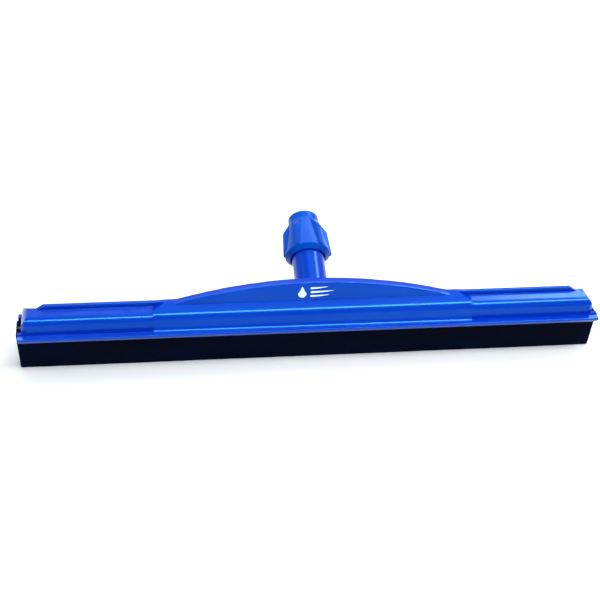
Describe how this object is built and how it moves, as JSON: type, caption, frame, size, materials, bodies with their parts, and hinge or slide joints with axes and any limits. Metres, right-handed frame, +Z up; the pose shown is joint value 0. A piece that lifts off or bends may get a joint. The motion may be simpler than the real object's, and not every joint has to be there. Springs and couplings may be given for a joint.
{
  "type": "floor squeegee head",
  "caption": "Floor squeegee head: moulded channel with lips and an arch, a double foam rubber blade below, and a leaning handle socket with a screw clamp nut.",
  "frame": {"origin": "middle of the front blade's lower edge, where the head rests on the floor", "axes": "+X along the blades, +Y towards the side that the handle leans to, +Z up from the floor through the blades and the channel"},
  "size_m": [0.553, 0.1139, 0.1129],
  "materials": {
    "holder_plastic": "glossy blue polypropylene",
    "foam_rubber": "matt black cellular rubber",
    "core_plastic": "matt black plastic strip",
    "ring_plastic": "natural off-white plastic",
    "nut_plastic": "satin blue plastic"
  },
  "bodies": {
    "holder": {"holder_body": "holder_plastic", "front_foam_blade": "foam_rubber", "rear_foam_blade": "foam_rubber", "core_strip": "core_plastic"},
    "clamp_ring": {"clamp_ring": "ring_plastic"},
    "clamp_nut": {"clamp_nut": "nut_plastic"}
  },
  "joints": [
    {"name": "clamp_ring_slide", "type": "slide", "parent": "holder", "child": "clamp_ring", "axis": [0, 0.8988, 0.4384], "range_m": [0, 0.01201]},
    {"name": "clamp_nut_turn", "type": "hinge", "parent": "clamp_ring", "child": "clamp_nut", "pos_m": [0, 0.06732, 0.08999], "axis": [0, 0.8988, 0.4384], "range_deg": [0, 1080]}
  ],
  "couplings": [
    {"joint": "clamp_ring_slide", "follows": "clamp_nut_turn", "m_per_rad": 0.00063662}
  ]
}
